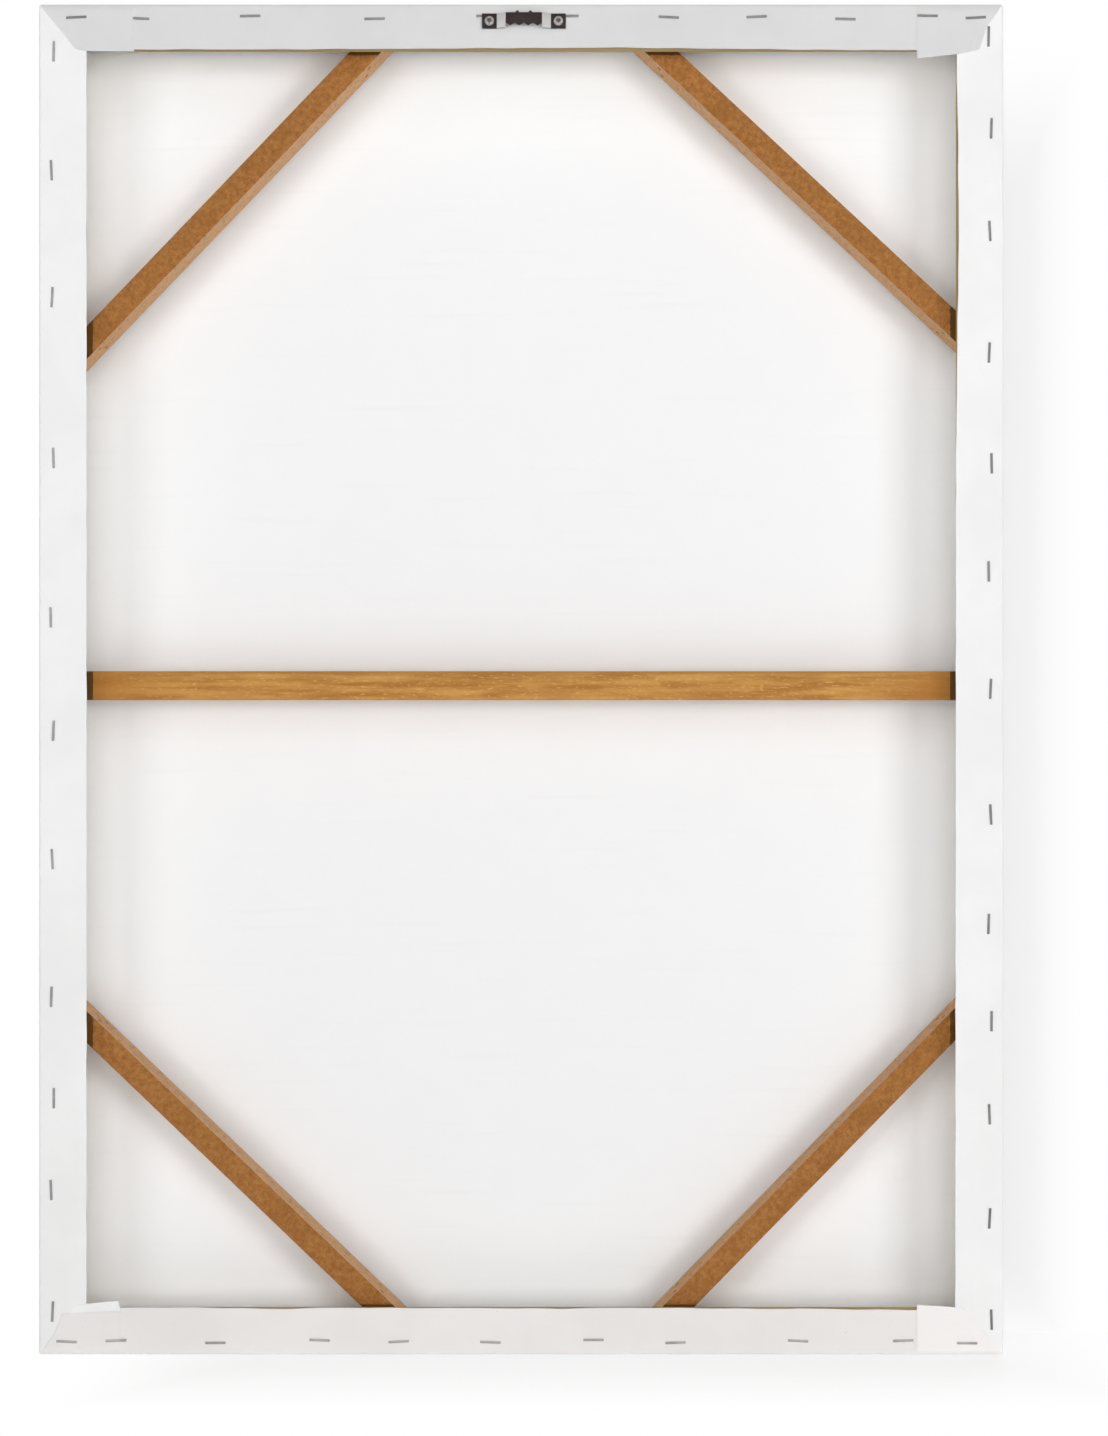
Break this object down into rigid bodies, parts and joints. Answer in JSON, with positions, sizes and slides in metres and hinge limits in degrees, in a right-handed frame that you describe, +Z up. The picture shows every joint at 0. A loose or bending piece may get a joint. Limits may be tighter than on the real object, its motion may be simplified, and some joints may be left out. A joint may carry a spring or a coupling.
{
  "type": "stretched canvas",
  "caption": "Upright stretched canvas on a deep mitred bar frame with corner braces, a cross brace, stapled turned-over cloth and a sawtooth hanger.",
  "frame": {"origin": "middle of the bottom edge's face, at half the frame's depth", "axes": "+Z up, +Y out of the painting face, so the back with the staples and the hanger faces -Y; +X to the right as seen from the back"},
  "size_m": [0.5, 0.0427, 0.7],
  "materials": {
    "wood": "bare planed pine",
    "fibreboard": "sawn fibreboard, lighter on its smooth faces",
    "cross_brace_wood": "bare planed pine, darker than the bars",
    "primed_cloth": "matte white primer over a plain weave",
    "staple_wire": "dull zinc-coated wire",
    "hanger_metal": "black lacquer, glossy",
    "screw_metal": "zinc plated",
    "nail_metal": "dull steel wire"
  },
  "bodies": {
    "root": {"stretcher_bar_bottom": "wood", "stretcher_bar_left": "wood", "stretcher_bar_top": "wood", "stretcher_bar_right": "wood", "corner_brace_bottom_left": "fibreboard", "corner_brace_top_left": "fibreboard", "corner_brace_top_right": "fibreboard", "corner_brace_bottom_right": "fibreboard", "cross_brace": "cross_brace_wood", "canvas_sheet": "primed_cloth", "staples_bottom": "staple_wire", "staples_left": "staple_wire", "staples_top": "staple_wire", "staples_right": "staple_wire", "sawtooth_hanger": "hanger_metal", "hanger_screw_left": "screw_metal", "hanger_screw_right": "screw_metal", "v_nails_bottom_left": "nail_metal", "v_nails_top_left": "nail_metal", "v_nails_top_right": "nail_metal", "v_nails_bottom_right": "nail_metal", "brads_bottom_left": "nail_metal", "brads_top_left": "nail_metal", "brads_top_right": "nail_metal", "brads_bottom_right": "nail_metal", "cross_brace_nails_left": "nail_metal", "cross_brace_nails_right": "nail_metal"}
  },
  "joints": []
}
